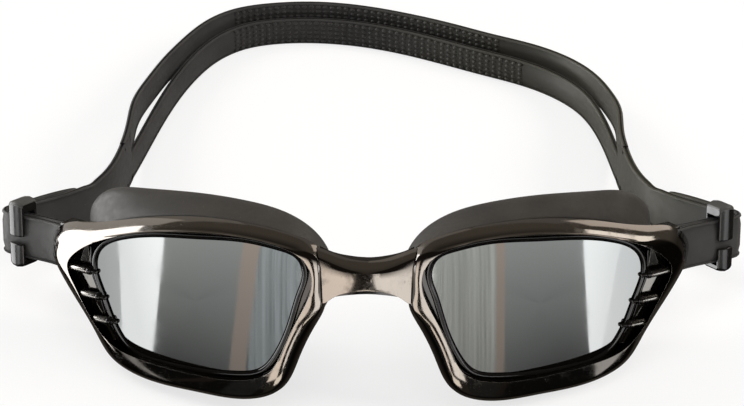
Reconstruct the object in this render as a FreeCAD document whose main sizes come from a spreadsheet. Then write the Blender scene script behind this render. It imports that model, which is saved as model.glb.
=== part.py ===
"""Swim goggles: two mirrored eye units on a plated nose bridge, with a split silicone head strap.

Row frame: +X to the wearer's left, +Y from the lenses towards the back of the head, +Z up, millimetres.
The goggles stand on a table. The front frame leans back on its lower rims and the strap lies behind it.

Eye frame: the front frame before it leans back. u runs along X from the nose, v runs back from the
front of the bridge and w runs up. The lenses and covers follow an upright cylinder, the wrap, and a
depth is measured inwards from it.
"""
import FreeCAD, Part
import Sketcher
import math
import os
from FreeCAD import Placement, Rotation, Vector

DIMENSIONS = {
    "wrapradius": 125.0,      # the cylinder that lenses and covers follow
    "leanangle": 17.0,        # how far the front frame leans back, degrees
    "standheight": 36.6,      # bridge front above the table
    "setback": 83.8,          # bridge front to the middle of the object, along Y
    "coverdepth": 5.4,        # plated cover, front to rear edge
    "ridgeinset": 2.2,        # outer edge to the ridge between bevel and front face
    "ridgedepth": 0.4,
    "lipdepth": 1.0,
    "lipback": 2.6,
    "coverwall": 1.6,
    "lensfront": 3.6,
    "lensback": 5.4,
    "rimfront": 3.3,
    "rimwidth": 1.2,
    "flangefront": 5.5,
    "flangeback": 7.5,
    "flangeinset": 1.2,
    "ledge": 1.2,             # how far the eyecup reaches in behind the lens
    "cupback": 12.0,
    "sleevewall": 2.5,
    "gap": 0.3,               # room between pieces that touch softly
    "fit": 0.1,               # room around a piece that sits in a seat
    "rimreach": 18.5,         # depth of the gasket's rear rim beside the nose
    "rimease": 3.5,           # how much shallower that rim is at the temple
    "rimlip": 3.4,
    "insertfront": 4.3,
    "ribfront": 2.2,
    "ribwidth": 1.5,
    "bridgedepth": 4.4,
    "corefront": 4.6,
    "coreback": 7.3,
    "coredrop": 2.0,          # how far the core reaches below the plated bridge
    "bandthickness": 1.6,
    "sidethickness": 2.0,     # the unsplit strap behind the bend
    "bandheight": 11.2,
    "bandlevel": -3.8,        # middle of the band, up from the bridge front
    "layergap": 0.4,
    "barradius": 1.3,
    "barlength": 13.6,
    "baru": 74.5,
    "barv": 36.6,
    "bandangle": 33.0,        # direction of the band where it leaves the frame, degrees
    "bendstart": 20.4,        # bar to the bend, along the band
    "bendradius": 1.8,        # inner layer, middle of its thickness
    "bendturn": 106.0,
    "lugthickness": 1.25,
    "lugdepth": 5.4,
    "cliplength": 3.4,
    "clipheight": 14.2,
    "clipwall": 1.1,
    "clipgap": 2.4,
    "clipstation": 17.0,      # bar to the middle of the clip, along the band
    "strandheight": 8.4,
    "trim": 0.15,             # sliced off the lower strand so that it rests on a flat edge
}

# Outlines of the wearer's left eye unit, (u, w) from nose to temple over the top and back below.
COVER_OUTER = [(11.5, 6.8), (18, 10), (28, 11.9), (41, 12.3), (57, 9.4), (68, 6.2), (76.6, 3.3),
               (80.2, -2.6), (77.6, -9.8), (69, -22.2), (65, -28), (59, -31.2), (42, -33.2), (28, -33.2),
               (20.6, -29.8), (16.4, -21.6), (12.4, -13), (10.2, -8.4), (9.9, -2)]
COVER_INNER = [(14.9, 4.6), (19.8, 7.7), (28, 9.6), (41, 9.7), (56.5, 7.3), (66, 3.5), (72.6, -1.1),
               (75, -4.9), (73.4, -9.6), (67.2, -19.9), (63.4, -23.3), (57, -25.3), (43, -26.9), (29.5, -26.7),
               (24.1, -24.6), (20.3, -18.2), (16.9, -10.6), (14.2, -5), (13.2, -0.6)]
LENS = [(15.5, 0.3), (16.8, 4.3), (21, 6.2), (29.5, 7.6), (41, 7.2), (52.6, 5.8), (60, 3.5), (66, -0.3),
        (67.4, -4), (65.7, -10.4), (62.5, -18.6), (58, -24.1), (51, -25.7), (42, -26.2), (32, -25.9),
        (26, -24.4), (22.5, -20.1), (19, -11.7), (16.6, -3.7)]
SLEEVE = [(10.8, -0.8), (12.3, 5.2), (18.5, 9.2), (28, 11.1), (41, 11.7), (55.5, 9.3), (65, 5.4), (69.5, 1.2),
          (70.8, -4.6), (70, -11), (67.5, -18.8), (63.5, -26.6), (56, -30.4), (42, -32.2), (28, -32),
          (21, -28.2), (16.8, -21), (13.2, -13.6), (10.8, -7.3)]
REAR_RIM = [(8.8, -2), (11.8, 5), (19.5, 10.7), (29.5, 13.2), (42, 14), (54.5, 12.6), (63.3, 9.3), (68, 3.8),
            (69.3, -3.5), (68.4, -10.3), (65.3, -17.6), (60, -23.8), (52.5, -27.6), (41, -28.8), (30, -28.2),
            (22, -25.6), (16.3, -20.6), (12.4, -15), (9.4, -9)]
GILL = [(69.2, 0.2), (72.2, -1.9), (73.9, -5.3), (72.4, -9.5), (66.4, -19.3), (63.9, -22.2), (62.3, -23.1),
        (64.5, -18.8), (67.3, -10.6), (69, -4)]
RIBS = [(67.5, -5.9, 3), (66, -12.2, 2), (63.4, -18, 0)]      # inner end u, w and slope in degrees
BRIDGE_TOP = [(0, 4.0), (4, 4.5), (8, 6.0), (11.2, 7.6)]
BRIDGE_BOTTOM = [(0, -2.5), (4, -2.9), (7.5, -4.1), (10.2, -6.0)]

# Strap route from the swing hinge to the split: x, y, height of the lower edge, height of the band and
# how far its upper edge leans back. The right side mirrors it.
STRAP_SIDE = [(81.1, 57, 9.7, 11.2, 2.6), (77, 61, 9.0, 11.3, 2.2), (73.2, 66, 8.0, 11.6, 1.6),
              (70.2, 73, 6.6, 12.4, 0.9), (68.2, 82, 4.6, 14, 0.4), (67, 92, 2.7, 16, 0)]
TAIL = [(83.6, 57.6, 9.9, 11.2, 2.6), (79.4, 61.7, 9.4, 11.2, 2.2), (76, 66.4, 8.8, 11.2, 1.8)]
# Strands round the back of the head, left to right: x, y, height of the lower edge.
# The lower one starts inside the unsplit band.
LOWER_STRAND = [(67.7, 86, 4.4), (67, 92, 2.9), (65.6, 105, 0.7), (63, 119, 0), (58.8, 130, 0),
                (51.6, 139, 0), (42, 146, 0), (31, 151.5, 0), (20, 157, 0), (8, 162.6, 0), (-5, 167, 0),
                (-18, 169, 0), (-30, 168.5, 0), (-40, 165.3, 0), (-47.6, 158.6, 0), (-53, 149.5, 0),
                (-57.8, 137, 0), (-61.6, 123, 0), (-64.6, 108, 0.6), (-67, 92, 2.9), (-67.7, 86, 4.4)]
UPPER_STRAND = [(67.1, 92.7, 11.4), (67.3, 105, 9.5), (65.7, 118, 7.0), (61.8, 130.2, 5.4),
                (54.7, 140.9, 4.3), (44.6, 148.8, 3.8), (33, 154.6, 3.6), (21.8, 160.2, 3.6),
                (9.4, 165.6, 3.6), (-4.4, 170.2, 3.6), (-18, 172.4, 3.6), (-31.4, 171.6, 3.6),
                (-42.6, 167.8, 3.8), (-50.5, 160.2, 4.2), (-55.9, 150.4, 4.6), (-60.7, 138.2, 5.4),
                (-64.4, 124, 7.0), (-66.8, 109, 9.3), (-67.1, 92.7, 11.4)]

doc = FreeCAD.newDocument("SwimGoggles")
parts = {}


def make_sheet():
    """Write the driving dimensions into the document's sheet."""
    table = doc.addObject("Spreadsheet::Sheet", "Sizes")
    for row, (name, value) in enumerate(DIMENSIONS.items(), start=1):
        table.set("A%d" % row, name)
        table.set("B%d" % row, str(value))
        table.setAlias("B%d" % row, name)
    doc.recompute()
    return table


sizes = make_sheet()


def size(name):
    """One driving dimension, read from the sheet."""
    return float(sizes.get(name))


# ------------------------------------------------------------------ frames
def table_place():
    """Place of what is laid out on the table, measured from below the bridge front."""
    return Placement(Vector(0, -size("setback"), 0), Rotation())


def eye_place():
    """Place of the eye frame: leaned back about X and lifted to its standing height."""
    lean = Rotation(Vector(1, 0, 0), -size("leanangle"))
    return Placement(Vector(0, -size("setback"), size("standheight")), lean)


def band_place():
    """Place of the band frame in the eye frame: X along the band from the strap bar, Z up."""
    turn = Rotation(Vector(0, 0, 1), size("bandangle"))
    return Placement(Vector(size("baru"), size("barv"), size("bandlevel")), turn)


def wrapped(u, w, depth):
    """Point of the eye frame at (u, w), the given depth inside the wrap cylinder."""
    radius = size("wrapradius")
    return Vector(u, radius - math.sqrt((radius - depth) ** 2 - u * u), w)


def inset(outline, distance):
    """Outline moved inwards by distance at each point; a negative distance moves it outwards."""
    count = len(outline)
    area = sum(outline[i - 1][0] * outline[i][1] - outline[i][0] * outline[i - 1][1] for i in range(count))
    side = distance if area > 0 else -distance
    moved = []
    for i, (u, w) in enumerate(outline):
        before, after = outline[i - 1], outline[(i + 1) % count]
        du, dw = after[0] - before[0], after[1] - before[1]
        length = math.hypot(du, dw)
        moved.append((u - side * dw / length, w + side * du / length))
    return moved


# ------------------------------------------------------------------ shape helpers
def closed_curve(points):
    """Smooth closed edge through the points."""
    curve = Part.BSplineCurve()
    curve.interpolate(points, PeriodicFlag=True)
    return curve.toShape()


def open_curve(points):
    """Smooth open edge through the points."""
    curve = Part.BSplineCurve()
    curve.interpolate(points)
    return curve.toShape()


def skin(edges, caps=()):
    """Solid whose long faces run straight from each edge to the next, all the way round."""
    wires = [Part.Wire([edge]) for edge in edges]
    lofts = [Part.makeLoft([a, b], False, True) for a, b in zip(wires, wires[1:] + wires[:1])]
    faces = [face for loft in lofts for face in loft.Faces]
    shell = Part.Shell(faces + list(caps))
    shell.sewShape()
    solid = Part.Solid(shell)
    if not solid.isValid():
        solid.fix(1e-3, 1e-3, 1e-3)
    if solid.Volume < 0:
        solid.reverse()
    return solid


def feature(name, shape, place=Placement()):
    """Part::Feature that holds a shape made with Part's own functions."""
    item = doc.addObject("Part::Feature", name)
    item.Shape = shape
    item.Placement = place
    return item


def bind(item, **cells):
    """Set the item's sizes to expressions of the sheet's cells."""
    for prop, text in cells.items():
        item.setExpression(prop, text)
    return item


def boolean(kind, name, items):
    """Part boolean of the items: MultiFuse, MultiCommon, or Cut of the first by the second."""
    item = doc.addObject("Part::" + kind, name)
    if kind == "Cut":
        item.Base, item.Tool = items
    else:
        item.Shapes = items
    return item


def cell(name):
    """Expression that reads one cell of the sheet."""
    return "Sizes." + name


def wrap_drum(name, depth):
    """Upright drum whose skin lies the given depth inside the wrap; depth is an expression."""
    drum = bind(doc.addObject("Part::Cylinder", name), Radius="Sizes.wrapradius - (%s)" % depth)
    drum.Height = 80
    drum.setExpression(".Placement.Base.y", cell("wrapradius"))
    drum.Placement.Base.z = -45
    return drum


def prism(name, outline):
    """Outline in (u, w) carried straight back through the frame."""
    wire = feature(name + "_outline", Part.Wire([closed_curve([Vector(u, -5, w) for u, w in outline])]))
    item = doc.addObject("Part::Extrusion", name)
    item.Base = wire
    item.DirMode = "Custom"
    item.Dir = Vector(0, 1, 0)
    item.LengthFwd = 70
    item.Solid = True
    return item


def wrapped_plate(name, outline, front, back):
    """Plate that follows the wrap between two depths, with the given outline."""
    shell = boolean("Cut", name + "_shell", [wrap_drum(name + "_front", front), wrap_drum(name + "_back", back)])
    return boolean("MultiCommon", name, [prism(name + "_prism", outline), shell])


def wrapped_ring(name, outer, inner, front, back):
    """Wrapped plate with an opening."""
    plate = wrapped_plate(name + "_plate", outer, front, back)
    return boolean("Cut", name, [plate, prism(name + "_opening", inner)])


def keep(name, item, place=None):
    """Hand a finished sub-part over under its node name."""
    if place is not None:
        item.Placement = place
    item.Label = name
    parts[name] = item
    return item


def keep_pair(name, item, place=None):
    """Hand over the wearer's left piece and its mirror image on the right."""
    keep("left_" + name, item, place)
    mirror = doc.addObject("Part::Mirroring", "right_" + name + "_mirror")
    mirror.Source = item
    mirror.Normal = Vector(1, 0, 0)
    keep("right_" + name, mirror)


# ------------------------------------------------------------------ eye units
def make_lens():
    """Curved polycarbonate lens."""
    keep_pair("lens", wrapped_plate("Lens", LENS, cell("lensfront"), cell("lensback")), eye_place())


def make_cover():
    """Plated cover ring: bevel, ridge, front face and a turned-in lip."""
    depths = [(COVER_OUTER, size("coverdepth")),
              (inset(COVER_OUTER, size("ridgeinset")), size("ridgedepth")),
              (COVER_INNER, size("lipdepth")),
              (COVER_INNER, size("lipback")),
              (inset(COVER_OUTER, size("coverwall")), size("coverdepth"))]
    edges = [closed_curve([wrapped(u, w, depth) for u, w in outline]) for outline, depth in depths]
    keep_pair("fascia", feature("Cover", skin(edges)), eye_place())


def band_box(name, start, length, front, width, bottom, height):
    """Box in the band frame; every size but the first is an expression."""
    box = bind(doc.addObject("Part::Box", name), Length=length, Width=width, Height=height)
    place = band_place()
    place.Base = place.multVec(Vector(start, front, bottom))
    box.Placement = place
    return box


def strap_bar(name, extra):
    """Upright bar between the lugs, or the hole that it sits in."""
    bar = bind(doc.addObject("Part::Cylinder", name), Radius="Sizes.barradius + %s" % extra)
    bar.setExpression("Height", cell("barlength"))
    place = band_place()
    place.Base = place.multVec(Vector(0, 0, -size("barlength") / 2))
    bar.Placement = place
    return bar


def make_eyecup():
    """Rim round the lens, flange behind the cover, tube into the gasket and lugs for the strap bar."""
    opening = inset(LENS, size("ledge"))
    rim = wrapped_ring("CupRim", inset(LENS, -size("rimwidth")), inset(LENS, -size("fit")),
                       cell("rimfront"), "Sizes.flangefront + Sizes.fit")
    flange = wrapped_ring("CupFlange", inset(COVER_OUTER, size("flangeinset")), opening,
                          cell("flangefront"), cell("flangeback"))
    tube = wrapped_ring("CupTube", inset(SLEEVE, size("sleevewall") + size("gap")), opening,
                        "Sizes.flangeback - Sizes.fit", cell("cupback"))
    seat = size("bandheight") / 2 + 0.25
    lug_front = -size("lugdepth") / 2 - 0.4
    lugs = [band_box("CupLug%d" % i, -6.2, "8.6", lug_front, cell("lugdepth"), bottom, cell("lugthickness"))
            for i, bottom in enumerate((seat, -seat - size("lugthickness")))]
    body = boolean("MultiFuse", "CupBody", [rim, flange, tube] + lugs)
    slot = band_box("CupSlot", -3.6, "20", -5.0, "9.5", -seat, "Sizes.bandheight + 0.5")
    bored = boolean("Cut", "CupBored", [body, strap_bar("BarHole", "0.05")])
    keep_pair("eyecup", boolean("Cut", "Eyecup", [bored, slot]), eye_place())


def rim_depth(u):
    """Depth of the gasket's rear rim, which comes forward towards the temple."""
    return size("rimreach") - size("rimease") * (u / 70.0) ** 2


def make_gasket():
    """Silicone gasket: a sleeve over the eyecup that flares to a soft rear rim."""
    sleeve_front = size("flangeback") + size("fit")
    seat = size("cupback") + size("gap")
    inner_sleeve = inset(SLEEVE, size("sleevewall"))
    loops = [[wrapped(u, w, sleeve_front) for u, w in SLEEVE],
             [wrapped(u, w, rim_depth(u)) for u, w in REAR_RIM],
             [wrapped(u, w, rim_depth(u) - 0.8) for u, w in inset(REAR_RIM, size("rimlip"))],
             [wrapped(u, w, seat) for u, w in inset(LENS, 0.6)],
             [wrapped(u, w, seat) for u, w in inner_sleeve],
             [wrapped(u, w, sleeve_front) for u, w in inner_sleeve]]
    keep_pair("gasket", feature("Gasket", skin([closed_curve(loop) for loop in loops])), eye_place())


def make_gill_trim():
    """Insert beside the lens: a sunk panel with three short ribs across it."""
    panel = wrapped_plate("GillPanel", GILL, cell("insertfront"), cell("flangefront"))
    blocks = []
    for i, (u, w, slope) in enumerate(RIBS):
        rib = bind(doc.addObject("Part::Box", "Rib%d" % i), Height=cell("ribwidth"))
        rib.Length = 12
        rib.Width = 40
        rib.Placement = Placement(Vector(u, 5, w), Rotation(Vector(0, 1, 0), -slope))
        blocks.append(rib)
    bars = boolean("MultiFuse", "RibBars", blocks)
    zone = wrapped_plate("RibZone", inset(GILL, 0.2), cell("ribfront"), "Sizes.insertfront + Sizes.fit")
    ribs = boolean("MultiCommon", "Ribs", [bars, zone])
    keep_pair("gill_trim", boolean("MultiFuse", "GillTrim", [panel, ribs]), eye_place())


# ------------------------------------------------------------------ nose bridge
def bridge_outline(drop, reach):
    """Closed outline of the bridge; drop lowers its lower edge and reach lengthens it."""
    top = [(u + reach * u / 11.2, w) for u, w in BRIDGE_TOP]
    bottom = [(u + reach * u / 10.2, w - drop) for u, w in BRIDGE_BOTTOM]
    right_side = top[1:] + bottom[:0:-1]
    left_side = [(-u, w) for u, w in bottom[1:]] + [(-u, w) for u, w in top[:0:-1]]
    return [top[0]] + right_side + [bottom[0]] + left_side


def straight_ended_plate(name, outline, half_width, front, back):
    """Wrapped plate trimmed by two upright planes."""
    plate = wrapped_plate(name + "_full", outline, front, back)
    block = doc.addObject("Part::Box", name + "_trim")
    block.Length, block.Width, block.Height = 2 * half_width, 60, 60
    block.Placement.Base = Vector(-half_width, -20, -30)
    return boolean("MultiCommon", name, [plate, block])


def make_bridge():
    """Plated bridge cover between the two covers, on a black core that joins the eyecups."""
    cover = straight_ended_plate("Bridge", bridge_outline(0, 3), 9.6, "0.2", cell("bridgedepth"))
    keep("nose_bridge", cover, eye_place())
    outline = bridge_outline(size("coredrop"), 3)
    behind = "Sizes.coverdepth + Sizes.fit"
    pad = straight_ended_plate("CorePad", outline, 9.4, cell("corefront"), "Sizes.coverdepth + 2 * Sizes.fit")
    beam = straight_ended_plate("CoreBeam", outline, 11.3, behind, cell("coreback"))
    core = boolean("MultiFuse", "BridgeCore", [pad, beam])
    keep("nose_bridge_core", boolean("Cut", "BridgeCoreCut", [core, core_clearance()]), eye_place())


def core_clearance():
    """Room for both eyecup flanges at the ends of the bridge core."""
    left = prism("CoreClearLeft", inset(COVER_OUTER, size("flangeinset") - 2 * size("fit")))
    right = doc.addObject("Part::Mirroring", "CoreClearRight")
    right.Source = left
    right.Normal = Vector(1, 0, 0)
    return boolean("MultiFuse", "CoreClearance", [left, right])


# ------------------------------------------------------------------ strap hardware
def make_bar():
    """Steel-hard nylon bar that the strap turns round."""
    bar = strap_bar("StrapBar", "0")
    keep_pair("strap_bar", bar, eye_place().multiply(bar.Placement))


def make_clip():
    """Keeper clip: a block with a slot for two band layers, open in front by a narrow gap."""
    body = doc.addObject("PartDesign::Body", "Clip")
    plane = next(f for f in body.Origin.OriginFeatures if f.Role == "XY_Plane")
    inner_width = "(2 * Sizes.bandthickness + Sizes.layergap + 0.4)"
    outer_width = "(%s + 2 * Sizes.clipwall)" % inner_width
    clip_pad(body, plane, "ClipBlock", cell("cliplength"), outer_width, cell("clipheight"), "Pad")
    clip_pad(body, plane, "ClipSlot", "Sizes.cliplength + 2", inner_width, "Sizes.bandheight + 0.6", "Pocket")
    gap = doc.addObject("Part::Box", "ClipMouth")
    bind(gap, Length="Sizes.cliplength + 2", Height=cell("clipgap"))
    gap.Width = 5
    gap.Placement.Base = Vector(-size("cliplength") / 2 - 1, -5.5, -size("clipgap") / 2 + 0.3)
    opened = boolean("Cut", "ClipOpened", [body, gap])
    rounded = doc.addObject("Part::Fillet", "ClipRounded")
    rounded.Base = opened
    doc.recompute()
    outer = size("clipheight") / 2
    rounded.Edges = [(i + 1, 0.7, 0.7) for i, e in enumerate(opened.Shape.Edges)
                     if abs(e.Length - size("cliplength")) < 0.01 and abs(abs(e.CenterOfMass.z) - outer) < 0.01]
    along = band_place()
    along.Base = along.multVec(Vector(size("clipstation"), 0, 0))
    keep_pair("strap_clip", rounded, eye_place().multiply(along))


def clip_pad(body, plane, name, length, width, height, kind):
    """Rectangle about the origin, padded or pocketed evenly to both sides."""
    sketch = body.newObject("Sketcher::SketchObject", name + "Sketch")
    sketch.AttachmentSupport = (plane, [""])
    sketch.MapMode = "FlatFace"
    corners = [Vector(-1, -1, 0), Vector(1, -1, 0), Vector(1, 1, 0), Vector(-1, 1, 0)]
    for a, b in zip(corners, corners[1:] + corners[:1]):
        sketch.addGeometry(Part.LineSegment(a, b))
    rules = [Sketcher.Constraint("Coincident", i, 2, (i + 1) % 4, 1) for i in range(4)]
    rules += [Sketcher.Constraint("Horizontal", 0), Sketcher.Constraint("Horizontal", 2),
              Sketcher.Constraint("Vertical", 1), Sketcher.Constraint("Vertical", 3),
              Sketcher.Constraint("Symmetric", 0, 1, 2, 1, -1, 1)]
    sketch.addConstraint(rules)
    across = sketch.addConstraint(Sketcher.Constraint("DistanceX", 0, 1, 0, 2, 2))
    deep = sketch.addConstraint(Sketcher.Constraint("DistanceY", 1, 1, 1, 2, 2))
    sketch.setExpression("Constraints[%d]" % across, length)
    sketch.setExpression("Constraints[%d]" % deep, width)
    pad = body.newObject("PartDesign::" + kind, name)
    pad.Profile = sketch
    pad.SideType = "Symmetric"
    pad.setExpression("Length", height)
    return pad


# ------------------------------------------------------------------ strap
def quad(points):
    """Flat four-sided face."""
    return Part.Face(Part.makePolygon(points + points[:1]))


def ribbon(stations, thickness):
    """Standing band through stations of x, y, lower edge, height and lean."""
    corners = []
    for i, (x, y, low, height, lean) in enumerate(stations):
        before, after = stations[max(i - 1, 0)], stations[min(i + 1, len(stations) - 1)]
        along = Vector(after[0] - before[0], after[1] - before[1], 0).normalize()
        side = Vector(along.y, -along.x, 0) * (thickness / 2)
        foot, head = Vector(x, y - lean / 2, low), Vector(x, y + lean / 2, low + height)
        corners.append([foot - side, foot + side, head + side, head - side])
    edges = [open_curve([section[k] for section in corners]) for k in range(4)]
    return skin(edges, [quad(corners[0]), quad(corners[-1])])


def nosed(stations):
    """Stations with a round nose put before the first one, which lies on the swing hinge line."""
    x, y, low, height, lean = stations[0]
    slope = (stations[1][0] - x) / (stations[1][1] - y)
    radius = height / 2
    nose = []
    for degrees in (78, 55, 28):
        back, half = radius * math.sin(math.radians(degrees)), radius * math.cos(math.radians(degrees))
        nose.append((x - slope * back, y - back, low + radius - half, 2 * half, lean * half / radius))
    return nose + stations


def hairpin_points():
    """Middle line of the strap end in the band frame: inner layer, round the bar, outer layer."""
    wide = size("barradius") + 0.15 + size("bandthickness") / 2
    close = (size("bandthickness") + size("layergap")) / 2
    start, centre = size("bendstart"), close + size("bendradius")
    turn = math.radians(size("bendturn"))

    def bend(radius, run):
        steps = 5
        arc = [(start + radius * math.sin(turn * k / steps), centre - radius * math.cos(turn * k / steps))
               for k in range(steps + 1)]
        return arc + [(arc[-1][0] + run * math.cos(turn), arc[-1][1] + run * math.sin(turn))]

    straight = [(13, close), (6, close), (2.6, (close + wide) / 2), (0, wide)]
    inner = list(reversed(bend(size("bendradius"), 3.4))) + straight
    around = [(-wide * math.sin(math.radians(a)), wide * math.cos(math.radians(a))) for a in (45, 90, 135)]
    outer = [(x, -y) for x, y in reversed(straight)] + bend(size("bendradius") + 2 * close, 0.8)
    return inner, around, outer


def make_strap_end():
    """Strap end: a hairpin round the bar, up to where the swinging strap begins."""
    inner, around, outer = hairpin_points()
    height = size("bandheight")
    stations = [(x, y, -height / 2, height, 0) for x, y in inner + around + outer]
    place = eye_place().multiply(band_place())
    keep_pair("strap_end", feature("StrapEnd", ribbon(stations, size("bandthickness"))), place)


def make_tail():
    """Loose tail of the strap end, outside the swinging strap."""
    tail = feature("Tail", ribbon(nosed(TAIL), size("bandthickness")), table_place())
    keep_pair("strap_tail", tail)


def make_strap():
    """Swinging strap: both sides up to the split, and the lower strand behind the head."""
    left = nosed(STRAP_SIDE)
    right = [(-x, y, low, height, lean) for x, y, low, height, lean in left]
    lower = [(x, y, low - size("trim"), size("strandheight") + size("trim"), 0) for x, y, low in LOWER_STRAND]
    strand = feature("StrandLower", ribbon(lower, size("bandthickness")))
    below = doc.addObject("Part::Box", "BelowTable")
    below.Length, below.Width, below.Height = 200, 120, 5
    below.Placement.Base = Vector(-100, 80, -5)
    pieces = [feature("StrapLeft", ribbon(left, size("sidethickness"))),
              feature("StrapRight", ribbon(right, size("sidethickness"))),
              boolean("Cut", "StrandTrimmed", [strand, below])]
    keep("strap", boolean("MultiFuse", "Strap", pieces), table_place())


def make_upper_strand():
    """Upper strand, from split to split, behind and above the lower one."""
    stations = [(x, y, low, size("strandheight"), 0) for x, y, low in UPPER_STRAND]
    keep("strap_upper_band", feature("StrandUpper", ribbon(stations, size("bandthickness"))), table_place())


# ------------------------------------------------------------------ build and export
def check():
    """Stop if any object failed or any sub-part is not a valid solid."""
    for item in doc.Objects:
        if "Invalid" in item.State or "Error" in item.State:
            raise RuntimeError("object failed: " + item.Name)
    for name, item in parts.items():
        shape = item.Shape
        if shape.isNull() or not shape.isValid() or not shape.Solids or shape.Volume <= 0:
            raise RuntimeError("bad shape: " + name)


def main():
    """Build every sub-part and write one STEP file for each."""
    for make in (make_lens, make_cover, make_eyecup, make_gasket, make_gill_trim, make_bridge, make_bar,
                 make_clip, make_strap_end, make_tail, make_strap, make_upper_strand):
        make()
    doc.recompute()
    check()
    os.makedirs("parts", exist_ok=True)
    for name, item in parts.items():
        item.Shape.exportStep("parts/%s.step" % name)
        box = item.Shape.BoundBox
        print("%-18s solids %d volume %8.1f  x %7.2f %7.2f  y %7.2f %7.2f  z %6.2f %6.2f" % (
            name, len(item.Shape.Solids), item.Shape.Volume,
            box.XMin, box.XMax, box.YMin, box.YMax, box.ZMin, box.ZMax))


main()
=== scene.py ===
"""Looks of the swim goggles: the visible pieces, their finishes, the light and the camera.

Row frame, metres: +X to the wearer's left, +Y to the back of the head, +Z up. Pieces are drawn in
millimetres, in the eye frame (u from the nose, v back from the bridge, w up), in the band frame (along
the band where it leaves the frame) or laid out on the table, and brought into the row frame when done.
"""
import math

import bmesh
import bpy
import numpy as np
from mathutils import Matrix, Vector


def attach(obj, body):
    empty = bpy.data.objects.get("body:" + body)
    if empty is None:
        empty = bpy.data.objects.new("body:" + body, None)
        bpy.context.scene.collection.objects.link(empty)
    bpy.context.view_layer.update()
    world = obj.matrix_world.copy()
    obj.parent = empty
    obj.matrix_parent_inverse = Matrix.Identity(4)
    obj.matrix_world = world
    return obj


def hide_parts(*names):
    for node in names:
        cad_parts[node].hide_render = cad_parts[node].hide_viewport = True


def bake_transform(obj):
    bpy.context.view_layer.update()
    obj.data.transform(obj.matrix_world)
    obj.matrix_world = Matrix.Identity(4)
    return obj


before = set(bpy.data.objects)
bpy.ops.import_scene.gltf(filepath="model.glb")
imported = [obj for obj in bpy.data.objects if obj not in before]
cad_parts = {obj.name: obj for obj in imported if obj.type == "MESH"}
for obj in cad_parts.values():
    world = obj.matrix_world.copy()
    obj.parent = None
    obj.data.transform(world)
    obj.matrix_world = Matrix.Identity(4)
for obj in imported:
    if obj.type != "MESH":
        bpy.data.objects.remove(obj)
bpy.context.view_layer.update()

# ---------- sizes, millimetres
WRAP = 125.0              # radius of the upright cylinder that lenses and covers follow
LEAN = 17.0               # how far the front frame leans back, degrees
STAND = 36.6              # bridge front above the table
SETBACK = 83.8            # bridge front to the middle of the object
COVER_BACK = 5.4          # depth of the cover's rear edge
LENS_FRONT = 3.6
LENS_BACK = 5.4
CUP_BACK = 12.0           # depth of the eyecup's rear end
SLEEVE_FRONT = 7.6        # depth of the gasket's front end
BAND_HEIGHT = 11.2
BAND_THICKNESS = 1.6
STRAND_HEIGHT = 8.4
LAYER_GAP = 0.4
BAR_RADIUS = 1.3
CLIP_STATION = 17.0       # strap bar to the middle of the clip
RING_POINTS = 256         # points round an eye unit
EYE_MIDDLE = (42.0, -9.0)

EYE_FRAME = Matrix.Translation((0, -SETBACK, STAND)) @ Matrix.Rotation(math.radians(-LEAN), 4, "X")
BAR_PLACE = (74.5, 36.6, -3.8)
BAND_TURN = math.radians(33)    # direction of the band where it leaves the frame
BAND_FRAME = EYE_FRAME @ Matrix.Translation(BAR_PLACE) @ Matrix.Rotation(BAND_TURN, 4, "Z")
TABLE_FRAME = Matrix.Translation((0, -SETBACK, 0))
MM = 0.001                # metres
TO_METRES = Matrix.Scale(MM, 4)

# Outlines of the wearer's left eye unit, (u, w) from nose to temple over the top and back below.
COVER_OUTER = [(11.5, 6.8), (18, 10), (28, 11.9), (41, 12.3), (57, 9.4), (68, 6.2), (76.6, 3.3),
               (80.2, -2.6), (77.6, -9.8), (69, -22.2), (65, -28), (59, -31.2), (42, -33.2), (28, -33.2),
               (20.6, -29.8), (16.4, -21.6), (12.4, -13), (10.2, -8.4), (9.9, -2)]
COVER_INNER = [(14.9, 4.6), (19.8, 7.7), (28, 9.6), (41, 9.7), (56.5, 7.3), (66, 3.5), (72.6, -1.1),
               (75, -4.9), (73.4, -9.6), (67.2, -19.9), (63.4, -23.3), (57, -25.3), (43, -26.9),
               (29.5, -26.7), (24.1, -24.6), (20.3, -18.2), (16.9, -10.6), (14.2, -5), (13.2, -0.6)]
LENS = [(15.5, 0.3), (16.8, 4.3), (21, 6.2), (29.5, 7.6), (41, 7.2), (52.6, 6.0), (60, 4.0), (65.8, 0.3),
        (67.4, -4), (65.7, -10.4), (62.5, -18.6), (58, -24.1), (51, -25.7), (42, -26.2), (32, -25.9),
        (26, -24.4), (22.5, -20.1), (19, -11.7), (16.6, -3.7)]
SLEEVE = [(10.8, -0.8), (12.3, 5.2), (18.5, 9.2), (28, 11.1), (41, 11.7), (55.5, 9.3), (65, 5.4),
          (69.5, 1.2), (70.8, -4.6), (70, -11), (67.5, -18.8), (63.5, -26.6), (56, -30.4), (42, -32.2),
          (28, -32), (21, -28.2), (16.8, -21), (13.2, -13.6), (10.8, -7.3)]
REAR_RIM = [(8.8, -2), (11.8, 5), (19.5, 10.7), (29.5, 13.2), (42, 14), (56, 13.2), (65.3, 11.0), (70, 5.2),
            (69.3, -3.5), (68.4, -10.3), (65.3, -17.6), (60, -23.8), (52.5, -27.6), (41, -28.8), (30, -28.2),
            (22, -25.6), (16.3, -20.6), (12.4, -15), (9.4, -9)]
GILL_TOP, GILL_FOOT = (69.2, 0.2), (62.3, -23.1)
GILL_OUTER = [(72.2, -1.9), (73.9, -5.3), (72.4, -9.5), (66.4, -19.3)]
GILL_INNER = [(64.5, -18.8), (67.3, -10.6), (69, -4)]
GILL = [GILL_TOP, *GILL_OUTER, (63.9, -22.2), GILL_FOOT, *GILL_INNER]
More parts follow.
